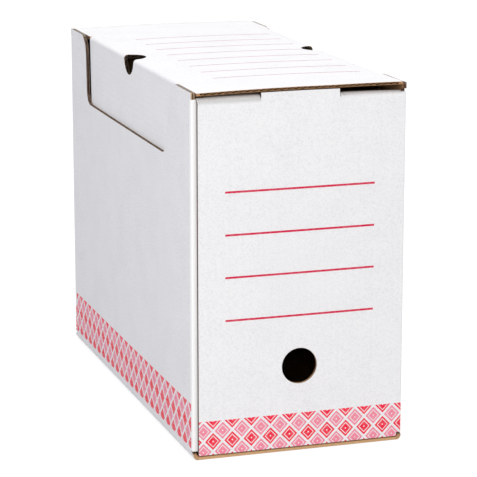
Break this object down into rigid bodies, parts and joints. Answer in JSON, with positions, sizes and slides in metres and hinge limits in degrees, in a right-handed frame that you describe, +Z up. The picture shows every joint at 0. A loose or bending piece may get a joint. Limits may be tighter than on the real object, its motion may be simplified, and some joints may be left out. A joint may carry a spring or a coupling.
{
  "type": "archive box",
  "caption": "Upright cardboard archive box for A4 papers, with a hinged lid, tucked side wings, thumb notches and a finger hole in the front.",
  "frame": {"origin": "middle of the underside of the closed box", "axes": "+Z up, -Y out of the front panel with the finger hole, +X to the right when the front is faced"},
  "size_m": [0.15, 0.325, 0.25],
  "materials": {
    "front_board": "matt white liner, brown cut edges",
    "side_board": "matt white liner, brown cut edges",
    "lid_board": "matt white liner, brown cut edges",
    "inner_board": "matt white liner, brown cut edges"
  },
  "bodies": {
    "tray": {"bottom_panel": "side_board", "left_side_panel": "side_board", "right_side_panel": "side_board", "front_panel": "front_board", "rear_panel": "front_board", "front_glued_flap": "inner_board", "rear_glued_flap": "inner_board"},
    "top_flap": {"front_top_flap": "inner_board"},
    "lid": {"lid_panel": "lid_board"},
    "left_wing": {"left_lid_wing": "lid_board"},
    "right_wing": {"right_lid_wing": "lid_board"}
  },
  "joints": [
    {"name": "lid_crease", "type": "hinge", "parent": "tray", "child": "lid", "pos_m": [0, 0.1625, 0.25], "axis": [-1, 0, 0], "range_deg": [0, 225]},
    {"name": "left_wing_crease", "type": "hinge", "parent": "lid", "child": "left_wing", "pos_m": [-0.0697, 0.002, 0.2472], "axis": [0, -1, 0], "range_deg": [0, 88]},
    {"name": "right_wing_crease", "type": "hinge", "parent": "lid", "child": "right_wing", "pos_m": [0.0697, 0.002, 0.2472], "axis": [0, 1, 0], "range_deg": [0, 88]},
    {"name": "top_flap_crease", "type": "hinge", "parent": "tray", "child": "top_flap", "pos_m": [0, -0.1587, 0.2434], "axis": [-1, 0, 0], "range_deg": [0, 70]}
  ]
}
